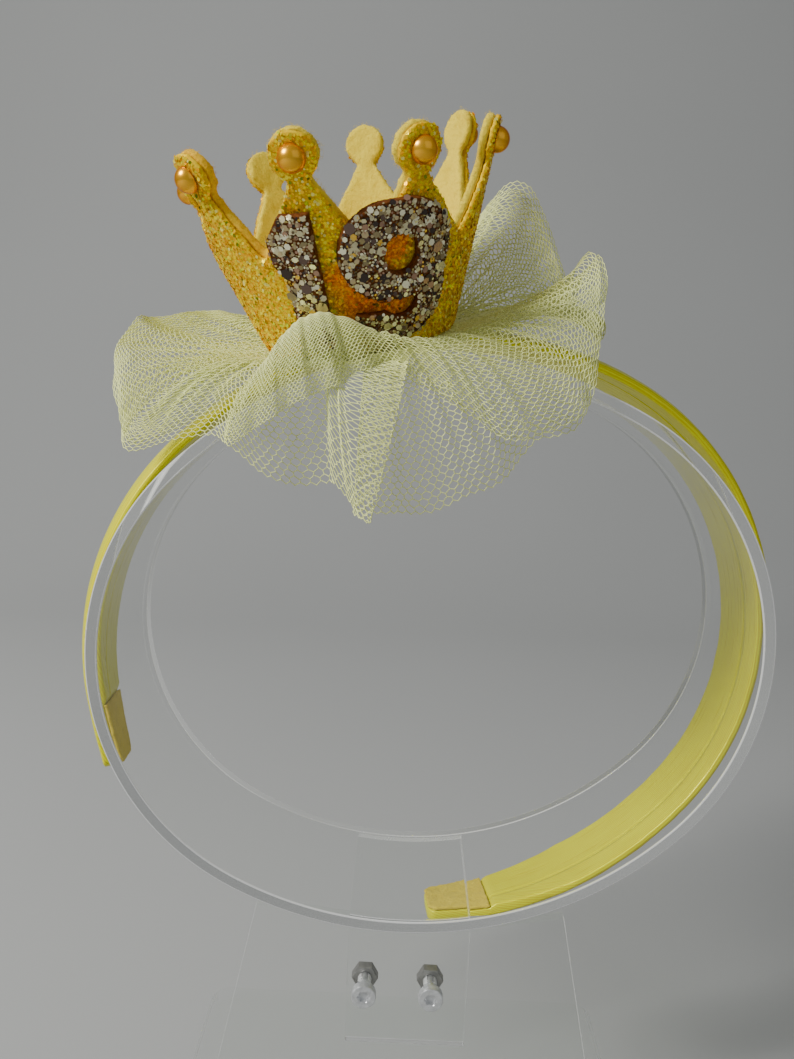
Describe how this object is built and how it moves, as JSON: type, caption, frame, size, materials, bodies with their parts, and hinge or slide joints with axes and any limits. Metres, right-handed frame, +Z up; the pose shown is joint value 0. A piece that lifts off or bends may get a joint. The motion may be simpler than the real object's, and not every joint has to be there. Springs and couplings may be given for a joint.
{
  "type": "mini crown headband on display stand",
  "caption": "Mini felt and glitter crown with a net ruffle on a yellow satin headband, slipped over a clear oval hoop on a display stand.",
  "frame": {"origin": "middle of the underside of the stand's foot plate, on the table", "axes": "+Z up, -Y is the front that shows the crown's figures, +X is the right side seen from the front"},
  "size_m": [0.1575, 0.0884, 0.2451],
  "materials": {
    "satin_yellow": "satin",
    "felt_cream": "matte felt",
    "glitter_gold": "chunky glitter",
    "pearl_orange": "pearly",
    "glitter_silver": "chunky glitter",
    "net_cream": "open net",
    "acrylic_clear": "clear",
    "steel": "plain"
  },
  "bodies": {
    "root": {"headband": "satin_yellow", "end_pad_left": "felt_cream", "end_pad_right": "felt_cream", "crown_felt": "felt_cream", "crown_glitter": "glitter_gold", "pearl_1": "pearl_orange", "pearl_2": "pearl_orange", "pearl_3": "pearl_orange", "pearl_4": "pearl_orange", "pearl_5": "pearl_orange", "pearl_6": "pearl_orange", "pearl_7": "pearl_orange", "pearl_8": "pearl_orange", "numeral_one": "glitter_silver", "numeral_nine": "glitter_silver", "net_ruffle": "net_cream", "stand_hoop": "acrylic_clear", "stand_bracket": "acrylic_clear", "stand_base": "acrylic_clear", "bolt_left": "steel", "bolt_right": "steel", "nut_left": "steel", "nut_right": "steel"}
  },
  "joints": []
}
